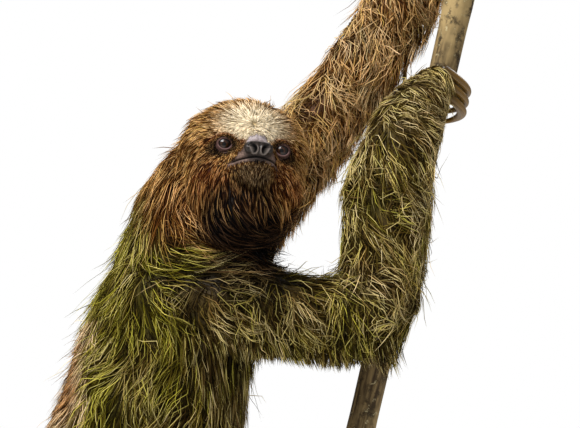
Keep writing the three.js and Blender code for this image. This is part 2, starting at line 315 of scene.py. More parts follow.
def bump(distance, width):
    return np.exp(-(distance / width) ** 2)


def eye_frame(side):
    """An eye's centre and its axes ahead, out to the side and up; side is 1 on the left, -1 on the right."""
    ahead = unit(EYE_AIM * (1, side, 1))
    up = unit(np.array([0, 0, 1.0]) - ahead * ahead[2])
    centre = np.array([EYE_MM["x"], side * EYE_SPAN_MM / 2, EYE_MM["z"]])
    return centre, np.array([ahead, np.cross(up, ahead) * side, up])


def mouth_height(p):
    """How far points are above the sheet in which the closed lips meet; the mouth is a little crooked."""
    sheet = 13.9 + MOUTH_SLOPE * p[:, 0] + 0.0035 * p[:, 1] ** 2 - 0.04 * p[:, 1] - bump(p[:, 1], 8)
    return p[:, 2] + sheet


def head_form(p):
    form = egg(p, HEAD_EGGS[0])
    for other in HEAD_EGGS[1:]:
        form = melt(form, egg(p, other), MELT_MM)
    for side in (-1, 1):
        centre, axes = eye_frame(side)
        ahead, out, up = axes @ (p - centre).T
        apart, aside = np.linalg.norm(p - centre, axis=1), np.hypot(out, up)
        form = melt(form + 1.6 * bump(apart, 12), apart - EYE_MM["dome"], 3)
        form = np.maximum(form, EYE_MM["pit"] - np.where(ahead > 0, aside, apart))
    lips = mouth_height(p)
    in_mouth = fade(np.abs(p[:, 1] + 1.5), 18, 14) * fade(p[:, 0], 1, 5)
    upper_lip, lower_lip = 0.25 * bump(lips - 2.0, 1.5), 0.55 * bump(lips + 1.6, 1.2)
    form = form + in_mouth * (1.3 * bump(lips, 0.7) - upper_lip - lower_lip)
    return form + 0.4 * bump(p[:, 1], 0.7) * fade(p[:, 0], 14, 17) * fade(lips, 0, 2)


def shrink_onto(directions, heart, form, reach, steps=46):
    """The distance along each ray from the heart at which the form's outer surface is met."""
    travel = np.full(len(directions), float(reach))
    for _ in range(steps):
        travel -= np.maximum(form(heart + directions * travel[:, None]) * 0.55, -0.5)
    return travel


HEART_OF_HEAD = np.array([-20.0, 0, -10])
head_skin = added(bpy.ops.mesh.primitive_ico_sphere_add, subdivisions=7, radius=1)
rays = unit(points_of(head_skin))
turn_from_nose = np.arccos(np.clip(rays[:, 0], -1, 1))
gathered = pi * (turn_from_nose / pi) ** 1.45
rays = unit(rays * (0, 1, 1)) * np.sin(gathered)[:, None]
rays[:, 0] = np.cos(gathered)
travel = shrink_onto(rays, HEART_OF_HEAD, head_form, reach=75)
set_points(head_skin, from_head(HEART_OF_HEAD + rays * travel[:, None]))
print("head skin", len(head_skin.data.vertices), "vertices")

# %% [markdown]
# ## Lids
# Thick lids close round each eye. A lid is a shell that lies on the eyeball: its inner side keeps a hair's
# breadth off the ball, its rounded edge follows the almond of the opening, and its outer side swells, has
# one fold and sinks into the face. The shell is a hoop of rings and is united with the head.

# %% the lids
LID_PROFILE = np.array([  # degrees beyond the opening's edge, and millimetres from the eye's centre
    (0, 6.32), (0.8, 6.6), (3, 6.82), (8, 7.0), (13, 7.02), (17, 6.84), (22, 7.08), (34, 7.1), (44, 6.85),
    (54, 6.3), (40, 6.15), (20, 6.15), (6, 6.15), (1.5, 6.18)])
OPENING = {"out": 40, "inner": 46, "high": 31}  # degrees from its middle
ALMOND = 1.8  # the power of its outline: 2 would be an oval, and 1 a diamond
LID_RINGS = 96


def opening(turn):
    """How many degrees from its middle an eye's opening reaches, at a turn from outwards to up."""
    wide = np.where(np.cos(turn) > 0, OPENING["out"], OPENING["inner"])
    across, up = np.abs(np.cos(turn) / wide), np.abs(np.sin(turn) / OPENING["high"])
    return (across ** ALMOND + up ** ALMOND) ** (-1 / ALMOND)


def about_eye(p):
    """Of points in the head's frame, by the nearer eye: distance, degrees beyond its opening, out and up."""
    found = np.empty((4, len(p)))
    for side in (-1, 1):
        centre, axes = eye_frame(side)
        near = p[:, 1] * side > 0
        ahead, out, up = axes @ (p[near] - centre).T
        apart = np.linalg.norm(p[near] - centre, axis=1)
        found[:, near] = apart, np.degrees(np.arccos(ahead / apart)) - opening(np.arctan2(up, out)), out, up
    return found


def make_lid(side):
    centre, axes = eye_frame(side)
    turn = np.linspace(0, 2 * pi, LID_RINGS, endpoint=False)[:, None]
    tilt = np.radians(opening(turn) + LID_PROFILE[:, 0])
    ways = np.stack([np.cos(tilt), np.sin(tilt) * np.cos(turn), np.sin(tilt) * np.sin(turn)], axis=-1)
    return loft("lid", from_head(centre + (ways * LID_PROFILE[:, 1:]) @ axes), hoop=True)


for side in (-1, 1):
    lid = make_lid(side)
    apply_modifier(head_skin, "BOOLEAN", operation="UNION", object=lid, solver="EXACT")
    bpy.data.objects.remove(lid)
print("head skin with lids", len(head_skin.data.vertices), "vertices")

# %% [markdown]
# ## One skin for the whole body
# The frame's flesh is a row of solids with hairline gaps. A single skin is made from copies of them: they
# are joined, swollen by a hair so that the gaps close, and remeshed into one surface. Then every vertex
# goes in by the depth of the coat there, because the frame's solids reach to the tips of the hair. The
# fine head is united with it at the end.

# %% copy, join and remesh the flesh
ARMS = [name.replace("SIDE", side) for side in ("right", "left")
        for name in ("arm_SIDE_upper", "arm_SIDE_fore", "hand_SIDE")]
LEGS = [name.replace("SIDE", side) for side in ("right", "left")
        for name in ("leg_SIDE_thigh", "leg_SIDE_shank", "foot_SIDE")]
FLESH = ["head", "neck", "trunk", "tail", *ARMS, *LEGS]
COAT = {  # the coat's depth, the hair's length and width in mm, its layers and its looseness
    "head": (16, 28, 0.6, 4.85, 0.18),
    "neck": (6, 40, 0.58, 4.8, 0.36),
    "trunk": (11, 36, 0.5, 4.2, 0.42),
    "tail": (6, 26, 0.8, 4.6, 0.4),
    "right_upper": (9, 36, 0.6, 4.45, 0.5),
    "left_upper": (9, 36, 0.6, 4.45, 0.6),
    "fore": (8, 34, 0.6, 4.45, 0.6),
    "hand": (4, 19, 0.52, 4.8, 0.5),
    "thigh": (9, 42, 0.95, 4, 0.45),
    "shank": (7, 32, 0.9, 4, 0.45),
    "foot": (4, 13, 0.6, 4.8, 0.4),
}
DEPTH, LENGTH, WIDTH, LAYERS, LOOSE = range(5)


def by_part(column):
    """A column of the coat's table for each flesh node, found by the word for its part of the body."""
    rows = [next(row for word, row in COAT.items() if word in name) for name in FLESH]
    return np.array(rows, dtype=float)[:, column]


def tree_of(piece):
    return BVHTree.FromObject(piece, bpy.context.evaluated_depsgraph_get())


deselect()
for name in FLESH:
    copy = new_piece("flesh_" + name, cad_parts[name].data.copy())
    copy.select_set(True)
    bpy.context.view_layer.objects.active = copy
flesh_trees = {name: tree_of(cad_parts[name]) for name in FLESH}
bpy.ops.object.join()
skin = bpy.context.active_object
edit_whole(skin)
bpy.ops.mesh.remove_doubles(threshold=0.01 * MM)
bpy.ops.mesh.normals_make_consistent(inside=False)
switch_mode("OBJECT")
apply_modifier(skin, "DISPLACE", strength=0.6 * MM, mid_level=0)
apply_modifier(skin, "REMESH", mode="VOXEL", voxel_size=4.5 * MM)
apply_modifier(skin, "SMOOTH", factor=0.5, iterations=4)
outline_tree = tree_of(skin)
print("joined flesh", len(skin.data.vertices), "vertices")


# %% draw it in by the coat's depth
def nearest_part(points):
    """For each point, the number in FLESH of the solid that it is closest to."""
    distances = np.empty((len(FLESH), len(points)))
    for row, name in enumerate(FLESH):
        tree = flesh_trees[name]
        distances[row] = [tree.find_nearest(point)[3] for point in points.tolist()]
    return distances.argmin(axis=0)


def relax(values, piece, rounds):
    """Evens a number per vertex out along the edges of a piece."""
    a, b = read(piece.data.edges, "vertices", 2, np.int64).T
    count = np.bincount(np.concatenate([a, b]), minlength=len(values))
    for _ in range(rounds):
        total = np.bincount(a, values[b], len(values)) + np.bincount(b, values[a], len(values))
        values = 0.5 * values + 0.5 * total / np.maximum(count, 1)
    return values


depth = relax((by_part(DEPTH) * MM)[nearest_part(points_of(skin))], skin, 12)
set_points(skin, points_of(skin) - read(skin.data.vertices, "normal") * depth[:, None])
apply_modifier(skin, "REMESH", mode="VOXEL", voxel_size=4 * MM)
apply_modifier(skin, "SMOOTH", factor=0.5, iterations=5)
apply_modifier(skin, "BOOLEAN", operation="UNION", object=head_skin, solver="EXACT")
bpy.data.objects.remove(head_skin)
print("one skin", len(skin.data.vertices), "vertices,", len(skin.data.polygons), "faces")

# %% [markdown]
# ## Numbers on the skin
# Everything that changes over the body is kept as a number on each vertex of the skin: which part it is,
# how the hair lies, how long and wide it is, and the markings. Evening the numbers out along the edges
# makes the change from part to part soft. Each hair later takes its numbers from the place of its root.

# %% which part each vertex is in
skin_points, skin_normals = points_of(skin), read(skin.data.vertices, "normal")
part_of_skin = nearest_part(skin_points)
part_names = np.array(FLESH)[part_of_skin]
on_head, on_neck, on_trunk = [part_names == name for name in ("head", "neck", "trunk")]
maned = on_head | on_neck
skin_mm, in_head = skin_points / MM, to_head(skin_points)
(x, y, z), (ahead, aside, above) = skin_mm.T, in_head.T  # in the model's frame, and in the head's
room_mm = np.array([outline_tree.find_nearest(point)[3] for point in skin_points.tolist()]) / MM


def ripple(points, wave_mm, seed, terms=7):
    """A smooth random field of three values, about -1 to 1, with waves of about the given length."""
    waves = np.random.default_rng(seed)
    total = np.zeros((len(points), 3))
    for _ in range(terms):
        direction = unit(waves.normal(size=(3,)))
        pace = 2 * pi / (wave_mm * MM * waves.uniform(0.7, 1.6))
        phase = waves.uniform(0, 2 * pi, size=3)
        total += np.sin((points @ direction * pace)[:, None] + phase) * waves.normal(size=3)
    return total / np.sqrt(terms) * 1.2


def zone(centre, half, points=in_head):
    """1 inside an egg-shaped zone of the head, 0 outside it, with a soft edge between."""
    return fade(np.linalg.norm((points - centre) / half, axis=1), 1.25, 0.75)


print("room for hair in mm, least, middle and most", np.percentile(room_mm, (0, 50, 100)).round(1))

# %% [markdown]
# ## Markings
# A brown-throated sloth has a cream forehead, a dark patch through each eye with an orange rim, rusty
# cheeks, a golden mane and beard, and a dark brown throat. The beard, the throat, the ring where the mane
# meets the shoulder and the chest below them are painted darker still, nearly black, as painted shade under
# the head. Its body is greyish tan under a film of green algae, which grows thickest where the light falls.
# A male has an orange patch with a dark middle on its back. The markings are worked out from places on the
# body, and skin and coat both carry them.

# %% where each marking lies
WHORL = np.array([5.0, 0, 13])  # where the hair of the forehead springs from, in the head's frame
PATCH_ON_BACK_MM = (-114, -22, 450)
ALGAE, RUST, DARK, PALE = range(4)  # the columns of the markings

from_whorl = np.linalg.norm((in_head - WHORL) / (1, 1.15, 0.9), axis=1)
from_patch = np.linalg.norm((skin_mm - PATCH_ON_BACK_MM) / (60, 32, 44), axis=1)
from_eye, beyond_lid, out_of_eye, above_eye = about_eye(in_head)
along_patch = 0.93 * out_of_eye - 0.37 * above_eye - 0.5
across_patch = 0.37 * out_of_eye + 0.93 * above_eye + 1.0
round_patch = np.where(from_eye < 22, np.hypot(along_patch / 10.5, across_patch / 6.0), 9)
flank = np.abs(aside)
wander, fine = ripple(skin_points, 30, 7), ripple(skin_points, 14, 6)
brown = fade(x, -62, -45)  # how far forward: head and throat, not the nape
far = relax(np.isin(part_names, ARMS[3:]).astype(float), skin, 22)  # the arm that reaches up, dry and tan


def find_algae():
    lit = fade(z, 300, 520) * fade(x, 10, -85)
    algae = 0.3 + 0.7 * lit + 0.3 * wander[:, 0] + 0.2 * fine[:, 0]
    arm = 0.06 + 0.2 * fade(z, 640, 500) + 0.6 * fade(wander[:, 1], 0.2, 1.2) + 0.2 * fine[:, 0]
    algae = np.where(np.char.startswith(part_names, "arm_right"), arm, algae)
    algae = np.where(part_names == "hand_right", 0.08 + 0.1 * wander[:, 1], algae)
    algae += far * (0.05 + 0.15 * wander[:, 1] - algae)
    nape = (1 - brown) * (0.45 + 0.3 * fade(z, 620, 560) + 0.25 * wander[:, 0])
    return np.where(maned, nape, algae)


def find_dark():
    eye_patch = 0.8 * fade(round_patch, 1.25, 0.8)
    temple = 0.36 * zone((-9, 0, -9), (12, 36, 6)) * fade(flank, 22, 29)
    nose = 0.92 * zone((22, 0, -14), (9, 11, 8))
    chin = 0.62 * zone((6, 0, -24), (13, 17, 7))
    # painted shade, partly: beard, throat and the ring where the mane meets the shoulder are dark brown hair,
    # painted darker still for the shade under the head
    beard = 0.72 * zone((6, -90, 570), (26, 60, 16), skin_mm)
    ring = 0.62 * zone((-30, -80, 533), (21, 75, 18), skin_mm)  # where the mane meets the shoulder
    throat = zone((2, -70, 546), (38, 75, 25), skin_mm)
    dark = np.maximum.reduce([eye_patch, temple, nose, chin, beard, throat, ring])
    on_back = 0.85 * bump(y - PATCH_ON_BACK_MM[1] - 16, 7) * fade(from_patch, 1.1, 0.8)
    # painted shade under the throat, on the chest
    below_throat = 0.5 * zone((8, -90, 520), (52, 60, 13), skin_mm)
    return np.where(maned, dark, np.maximum(on_back * on_trunk, below_throat))


def find_rust():
    cheeks = 0.6 * zone((-8, 0, -22), (20, 44, 14)) * fade(flank, 16, 25)
    rims = 0.75 * bump(round_patch - 1.3, 0.26) * fade(across_patch - 0.5 * along_patch, -3, 3)
    mane = (0.3 + 0.25 * wander[:, 0]) * fade(above, 10, -25)
    rust = np.maximum.reduce([cheeks, rims, mane]) * (1 - zone((8, 0, -24), (14, 17, 7)))
    rust = np.where(maned, rust * fade(x, -54, -38), 0)
    rust += 0.4 * fade(from_patch, 0.95, 0.5) * on_trunk
    return rust + far * (0.1 + 0.12 * wander[:, 1] - rust)


def find_gold():
    gold = np.where(maned, brown, 0)
    gold = gold + far * (0.8 + 0.2 * wander[:, 2] - gold)
    return np.maximum(gold, np.where(on_trunk, fade(from_patch, 1.2, 0.9), 0))


dark = np.clip(find_dark(), 0, 1)
around_patch = fade(from_patch, 1.2, 0.95) * (0.42 - 0.37 * fade(from_patch, 0.85, 0.5))
cream = 1.05 * fade(from_whorl, 31, 6) + 0.7 * zone((8, 0, -3), (14, 18, 10))
cream *= (1 - dark) * fade(round_patch, 1.15, 1.5)
cream = np.maximum(cream, 0.22 * zone((12, 0, -24), (10, 14, 5)))  # the grey down of the chin
pale = np.where(on_head, cream, around_patch * on_trunk)
pale += far * (0.1 + 0.15 * fine[:, 1])
marks = np.column_stack([find_algae(), find_rust(), dark, pale])
marks = np.clip(np.column_stack([relax(mark, skin, 3) for mark in marks.T]), 0, 1)
gold = np.clip(find_gold(), 0, 1)
marks[:, ALGAE] *= 1 - np.where(on_trunk, fade(from_patch, 1.3, 1.0), 0)
print("share of the skin that is algae, rust, dark, pale", marks.mean(axis=0).round(2))

# %% [markdown]
# ## The colour of hair and hide
# Sloth hair is coarse and grooved, so it has hardly any shine. Both materials mix the same named colours
# by the same markings, scaled by a painted light level. Where that level is low, a gamma node also deepens
# the colour, as painted shade inside the coat, where light bounces from hair to hair. The hide is painted
# the darkest: partly its own dark colour, partly painted shade between the hairs.

# %% materials of coat and hide
HAIR = {"plain": "#b8a168", "dry": "#e0cd9a", "algae": "#b3ab3c", "gold": "#d5a566", "rust": "#a65f2c",
        "dark": "#3a2718", "pale": "#fff0d2"}


def marked_colour(tree, gold_share, depth_of_colour, light):
    """The coat's colour from the markings, deepened by a gamma and scaled by a painted light level, as in
    shade.
    """
    marked = add(tree, "Attribute", attribute_name="marks").outputs
    algae, rust, dark = add(tree, "SeparateColor", {0: marked["Color"]}).outputs
    colour = paint(tree, HAIR["plain"], (speckle(tree, 60, detail=5), 0.35, 0.7, HAIR["dry"]),
                   (gold_share, 0, 1, HAIR["gold"]), (algae, 0, 1, HAIR["algae"]), (rust, 0, 1, HAIR["rust"]),
                   (marked["Alpha"], 0, 1, HAIR["pale"]), (dark, 0, 1, HAIR["dark"]))
    colour = add(tree, "Gamma", {"Color": colour, "Gamma": depth_of_colour}).outputs[0]
    return add(tree, "VectorMath", {0: colour, "Scale": light}, operation="SCALE").outputs[0]


def make_coat_material():
    """Coarse sloth hair, grooved and dull: almost no shine, dark roots and light ends."""
    material, tree, surface = new_material("coarse sloth hair", 0.6, Specular_IOR_Level=0.07)
    tone, along, gold_share = numbers(tree, "strand")
    rise = add(tree, "MapRange", {0: along, 1: 0.0, 2: 0.7, 3: 0.35, 4: 1.0}).outputs[0]
    light = add(tree, "Math", {0: rise, 1: tone}, operation="MULTIPLY").outputs[0]
    deep = add(tree, "MapRange", {0: light, 1: 0.1, 2: 0.9, 3: 2.2, 4: 1.0}).outputs[0]
    cover(tree, surface, marked_colour(tree, gold_share, deep, light))
    return material


def make_hide_material():
    """Dark hide with close wool, partly painted shade between the hairs; bare and leathery on the lids, the
    lips and the muzzle.
    """
    material, tree, surface = new_material("sloth hide", 0.55, Specular_IOR_Level=0.22)
    bare = add(tree, "Attribute", attribute_name="bare").outputs
    lid, muzzle, crease_shade = add(tree, "SeparateColor", {0: bare["Color"]}).outputs
    marked = add(tree, "Attribute", attribute_name="marks").outputs
    dark = add(tree, "SeparateColor", {0: marked["Color"]}).outputs[2]
    grain = speckle(tree, 900, detail=4)
    # painted shade, partly: the hide is given the coat's colours at 0.22 to 0.7 of their brightness, lighter
    # where the coat is pale, and deepened by a gamma of 2.2, as the shade between the hairs
    light = add(tree, "MapRange", {0: marked["Alpha"], 3: 0.22, 4: 0.7}).outputs[0]
    leather, lit_pale_leather, dark_leather, lid_skin = [
        paint(tree, low, (grain, 0.3, 0.7, high)) for low, high in
        (("#524038", "#8f7669"), ("#81777a", "#b3a7a6"), ("#15100d", "#2c231e"), ("#33201b", "#573c34"))]
    # paler grey leather where the coat's pale marking lies, mostly on the bridge: partly its own grey skin,
    # partly painted light on the upturned bridge
    leather = paint(tree, leather, (marked["Alpha"], 0, 1, lit_pale_leather), (dark, 0, 1, dark_leather))
    # the lower lids' wet edges take a lighter mauve: their own colour and a painted sheen
    colour = paint(tree, marked_colour(tree, numbers(tree, "strand")[2], 2.2, light), (muzzle, 0, 1, leather),
                   (lid, 0, 1, lid_skin), (bare["Alpha"], 0, 1, "#715552"), (crease_shade, 0, 1, "#0d0908"))
    pores = add(tree, "TexVoronoi", {"Scale": 700.0}).outputs["Distance"]
    cover(tree, surface, colour, pores, 0.35, 0.4)
    return material


lips = mouth_height(in_head)
bare_above = 0.6 - 12 * fade(flank, 4.5, 11) - 0.55 * np.maximum(flank - 11, 0)
on_muzzle = fade(above - bare_above, 1.5, -1.5) * fade(ahead, 0, 3)
on_muzzle *= fade(lips, -12, -7) * fade(flank, 21, 17) * on_head
lid_below = fade(above_eye, 1, -2)
on_lid = fade(beyond_lid, 26 + 8 * lid_below, 18 + 8 * lid_below) * (from_eye < 8.2)
# painted highlight, in part: the lower lid's wet edge is lighter, its own mauve and a painted sheen
wet_edge_and_sheen = fade(beyond_lid, 4.0, 2.2) * lid_below * (from_eye < 7.2)
# painted shade: the crease where the lips meet is painted near black
lip_crease_shade = bump(lips, 0.8) * (ahead > 4) * (flank < 17)
store(skin, "marks", marks)
store(skin, "bare", np.column_stack([on_lid, on_muzzle, lip_crease_shade, wet_edge_and_sheen]))
store(skin, "strand", np.outer(gold, (0, 0, 1)))
finish_piece(skin, "skin", make_hide_material(), FLESH)
coat_material = make_coat_material()

# %% [markdown]
# ## How the coat lies
# Hair leaves the hide at a low angle and lies along the body. On a climbing sloth it hangs: down the
# flanks, from hand to elbow on a raised forearm, and as a fringe under a level arm. On the head it springs
# from the whorl on the forehead and sweeps back, down the cheeks and round the throat like a collar.

# %% the lie, length and width of the hair
LIE = {"head": (0, 0, -1), "neck": (-0.2, -0.1, -1), "trunk": (-0.33, 0, -0.94), "tail": (-0.3, 0, -1),
       "arm_right_upper": (0.35, -0.1, -1), "arm_right_fore": (0.42, -0.1, -0.9),
       "hand_right": (0.7, 0, -0.55), "arm_left_upper": (0.3, -0.1, -1),
       "arm_left_fore": (0.25, -0.1, -1), "hand_left": (0.6, 0, -0.7),
       "leg_right_thigh": (-0.1, -0.1, -1), "leg_right_shank": (0.1, 0, -1), "foot_right": (0.5, 0.1, -0.7),
       "leg_left_thigh": (-0.1, 0.1, -1), "leg_left_shank": (0.1, 0, -1), "foot_left": (0.5, -0.1, -0.7)}


def on_skin(values):
    """A number or a vector for each vertex of the skin from those for the flesh nodes."""
    return np.array(values, dtype=float)[part_of_skin]


by_muzzle = np.linalg.norm((in_head - (15, 0, -9)) / (18, 15, 14), axis=1)
length = np.minimum(5 + 0.3 * np.maximum(from_whorl - 6, 0), 26)
length = np.minimum(length, 2.2 + 0.5 * np.maximum(from_eye - 8.5, 0))
length = np.minimum(length, 2.4 + 9 * np.maximum(by_muzzle - 0.9, 0))
on_chin = (flank < 21) & (ahead > -4) & (lips < 0)
length = np.where(on_chin, np.minimum(length, 2.0 + 0.6 * np.maximum(-lips - 2.5, 0)), length)
width = 0.34 + 0.26 * fade(length, 5, 20)
hair_length = relax(np.where(on_head, length, on_skin(by_part(LENGTH))), skin, 3)
hangs = np.isin(part_names, ["arm_right_upper", "arm_left_upper", "neck"])
hair_length *= 1 - 0.5 * fade(-skin_normals[:, 2], 0.1, 0.8) * hangs
hair_length *= np.where(on_trunk, np.clip(0.25 + 0.6 * from_patch, 0.35, 1), 1)
hair_width = relax(np.where(on_head, width, on_skin(by_part(WIDTH))), skin, 3)
extra = 1.5 * fade(above, 15, 32) * fade(from_whorl, 12, 30) * on_head
extra += 5 * fade(ahead, -38, -62) * fade(above, 30, 5) * on_head
extra += 4 * on_neck * (1 - brown)
extra += 4 * fade(flank, 22, 36) * fade(above, -5, 15) * on_head
hair_depth = np.minimum(relax(room_mm, skin, 3) + 0.5, 0.42 * hair_length) + relax(extra, skin, 4)
hair_depth *= np.where(on_neck, 1 - 0.45 * fade(x, 0, 35), 1)
looseness = relax(on_skin(by_part(LOOSE)), skin, 6)

thin = 1 - on_muzzle * (0.1 + 0.9 * fade(lips, -3.6, -1.2)) * fade(above - bare_above, 2.5, -2)
thin *= 1 + 1.4 * fade(from_whorl, 8, 3) * on_head
thin *= np.maximum(fade(beyond_lid, 9 + 8 * lid_below, 13 + 8 * lid_below), fade(from_eye, 7.6, 8.2))

spring = unit(in_head - WHORL)
spring += 1.7 * GRAVITY_IN_HEAD * fade(np.linalg.norm(in_head - WHORL, axis=1), 15, 60)[:, None]
spring[:, 0] -= 0.5 * fade(ahead, 10, -10)
body_lie = unit(on_skin([LIE[name] for name in FLESH]))
lie = np.where(on_head[:, None], unit(spring @ HEAD_ROTATION.T), body_lie)
collar = fade(z, 586, 542) * fade(z, 480, 520) * fade(x, -72, -44) * fade(y, 0, -30)
collar *= 0.95 * (maned | on_trunk)
lie += collar[:, None] * (np.array([1.0, -0.15, -0.2]) - lie)
lie = unit(np.column_stack([relax(column, skin, 8) for column in lie.T]))

# painted light and shade in each hair's brightness: darker on the lower front of the trunk, the right upper
# arm, towards the nape and on the lower right side of the head; lighter on the right forearm and hand and on
# the far arm. Over the patch on the back it lightens the patch's own colour.
shade = 1 - 0.3 * fade(x, -60, 20) * fade(z, 540, 460)
shade = np.where(part_names == "arm_right_upper", 0.9, np.where(on_trunk, shade, 1))
shade[np.isin(part_names, ["arm_right_fore", "hand_right"])] = 1.15
shade = relax(shade, skin, 6) * (1 + 0.75 * far)
shade *= 1 + 0.3 * fade(from_patch, 1.2, 0.9) * on_trunk
shade *= 1 - 0.35 * fade(x, -36, -56) * maned * brown
shade *= 1 - 0.12 * fade(aside, -24, -36) * fade(above, 25, -5) * on_head
under = 0.52 + 0.06 * on_trunk - 0.24 * marks[:, PALE] - 0.14 * far  # share of under hairs

# %% [markdown]
# ## Where the hairs are rooted
# Roots are scattered over the skin's triangles, more of them where the hair is short and fine: each triangle
# gets a chance by its area and by how many hairs must lie over each other to hide the hide.

# %% scatter the roots
skin.data.calc_loop_triangles()
corners = read(skin.data.loop_triangles, "vertices", 3, np.int64)
a, b, c = skin_points[corners].transpose(1, 0, 2)
areas = 0.5 * np.linalg.norm(np.cross(b - a, c - a), axis=1)
middle_length, middle_width = hair_length[corners].mean(axis=1), hair_width[corners].mean(axis=1)
layers = on_skin(by_part(LAYERS))[corners].mean(axis=1)
chance = areas * layers / (middle_length * middle_width * MM * MM)
chance *= thin[corners].min(axis=1)
count = int(chance.sum())
face_of_root = rng.choice(len(areas), size=count, p=chance / chance.sum())
shares = rng.dirichlet((1, 1, 1), size=count)


def at_roots(field):
    """What a number or vector on the skin's vertices is at each root."""
    values = field[corners[face_of_root]]
    return np.einsum("rc,rc...->r...", shares, values)


roots = at_roots(skin_points)
root_normals = unit(at_roots(skin_normals))
part_of_root = part_of_skin[corners[face_of_root, rng.integers(0, 3, size=count)]]
print(count, "hairs on", areas.sum().round(3), "m2 of skin")
print(int(np.sum(part_of_root == FLESH.index("head"))), "of them on the head")

# %% [markdown]
# ## How each hair runs
# A hair is a path of four points. From its root it goes out at a low angle, and each step then follows the
# skin below it at the height of its layer in the coat, turning a little to curl. Under an arm or the chin it
# lets go of the body and hangs. Neighbours are drawn towards a common guide hair, which makes loose locks.

# %% grow the paths
STEPS = 3
GUIDE_SHARE = 0.14
skin_tree = tree_of(skin)


def nearest_on_skin(points):
    found = [skin_tree.find_nearest(point)[:2] for point in points.tolist()]
    spots, normals = np.array(found).transpose(1, 0, 2)
    return spots, normals


def grow(starts, normals, ways, lengths, depths, bends, held):
    """The paths of hairs, as an array of hair, step and coordinate; held hairs don't let go and hang."""
    path, normal = [starts], normals
    hanging = ((1 - held) * fade(-normals[:, 2], 0.05, 0.7))[:, None]
    for step in range(1, STEPS + 1):
        flat = unit(ways - normal * np.sum(ways * normal, axis=1, keepdims=True))
        bend = bends[:, step - 1, None]
        flat = flat * np.cos(bend) + np.cross(normal, flat) * np.sin(bend)
        heading = unit(flat * (1 - 0.75 * hanging) + 0.75 * hanging * np.array([0.1, 0, -1]))
        rise = 0.25 if step == 1 else 0.08
        ahead = path[-1] + unit(heading + rise * normal) * lengths[:, None] / STEPS
        spots, normal = nearest_on_skin(ahead)
        height = np.sum((ahead - spots) * normal, axis=1)
        goal = depths * (step / STEPS) ** 0.7
        hold = 0.75 - 0.6 * hanging[:, 0]
        settled = np.maximum(height + hold * (goal - height), 0.3 * MM * step)
        path.append(ahead + normal * (settled - height)[:, None])
    return np.stack(path, axis=1)


# painted shade: the under hairs are given dark tones, as the shade deep in the coat
below = rng.random(count) < at_roots(under)  # the under hairs: dark, wide, and deep in the coat
loose = at_roots(looseness)
strays = (rng.random(count) < 0.008 + 0.06 * loose) & ~below
ways = at_roots(lie) + loose[:, None] * (ripple(roots, 34, 1) + 0.6 * ripple(roots, 11, 2))
ways += (0.28 * loose + 0.2 * strays)[:, None] * rng.normal(size=ways.shape)
lengths = at_roots(hair_length) * MM * rng.uniform(0.65, 1.2, size=count)
layer = np.where(below, rng.uniform(0.1, 0.55, size=count), rng.uniform(0.4, 1.05, size=count))
depths = at_roots(hair_depth) * MM * np.where(strays, rng.uniform(1.2, 2.0, size=count), layer)
swirl = ripple(roots, 24, 3)
curl = loose * (0.9 * swirl[:, 0] + 0.45 * rng.normal(size=count))
wave = loose * (0.5 * swirl[:, 1] + 0.25 * rng.normal(size=count))
bends = np.stack([-0.8 * curl - wave, wave, 0.8 * curl - wave], axis=1)
paths = grow(roots, root_normals, ways, lengths, depths, bends, at_roots(collar))

guides = np.flatnonzero(rng.random(count) < GUIDE_SHARE)
guide_tree = kdtree.KDTree(len(guides))
for place, guide in enumerate(guides):
    guide_tree.insert(roots[guide], place)
guide_tree.balance()
nearest_guide = guides[[guide_tree.find(root)[1] for root in roots]]
pull = rng.uniform(0.1, 0.7, size=count)[nearest_guide] * ~strays
pull *= 1 - 0.4 * at_roots(on_head * 1.0)
growth = (np.arange(STEPS + 1) / STEPS) ** 1.3
paths += (pull[:, None] * growth)[:, :, None] * (paths[nearest_guide] - paths)
print("guides", len(guides))

# %% [markdown]
# ## Hairs as solid mesh
# Each hair becomes a closed, three-sided taper of sixteen triangles: rings at the first three points and a
# single vertex at the tip. All the hairs of a region are one mesh, built from arrays in one go, because tens
# of thousands of objects or modifiers would be far too slow.

# %% a map of the skin for the hairs' texture coordinates
PATCH = 0.003  # the size of one hair's place on the map

unfolded = new_piece("unfolded", skin.data.copy())
apply_modifier(unfolded, "DECIMATE", ratio=0.06)
edit_whole(unfolded)
bpy.ops.mesh.quads_convert_to_tris()
bpy.ops.uv.smart_project(angle_limit=radians(66), island_margin=0.004)
switch_mode("OBJECT")
map_corners = np.array([p.vertices[:] for p in unfolded.data.polygons])
map_places = read(unfolded.data.uv_layers.active.data, "uv", 2).reshape(-1, 3, 2)
map_points = points_of(unfolded)[map_corners]
map_tree = tree_of(unfolded)
bpy.data.objects.remove(unfolded)


def place_on_map(points):
    """Texture coordinates of points from the nearest triangle of the unfolded skin."""
    found = [map_tree.find_nearest(point) for point in points.tolist()]
    spots, faces = np.array([f[0] for f in found]), np.array([f[2] for f in found])
    a, b, c = map_points[faces].transpose(1, 0, 2)
    whole = np.cross(b - a, c - a)
    size = np.maximum(np.sum(whole * whole, axis=1), 1e-20)
    share_b = np.sum(np.cross(spots - a, c - a) * whole, axis=1) / size
    share_c = np.sum(np.cross(b - a, spots - a) * whole, axis=1) / size
    weights = np.column_stack([1 - share_b - share_c, share_b, share_c])
    return np.einsum("rc,rcu->ru", weights, map_places[faces])


root_places = np.clip(place_on_map(roots), 0, 1 - PATCH)
print("map", len(map_corners), "triangles")

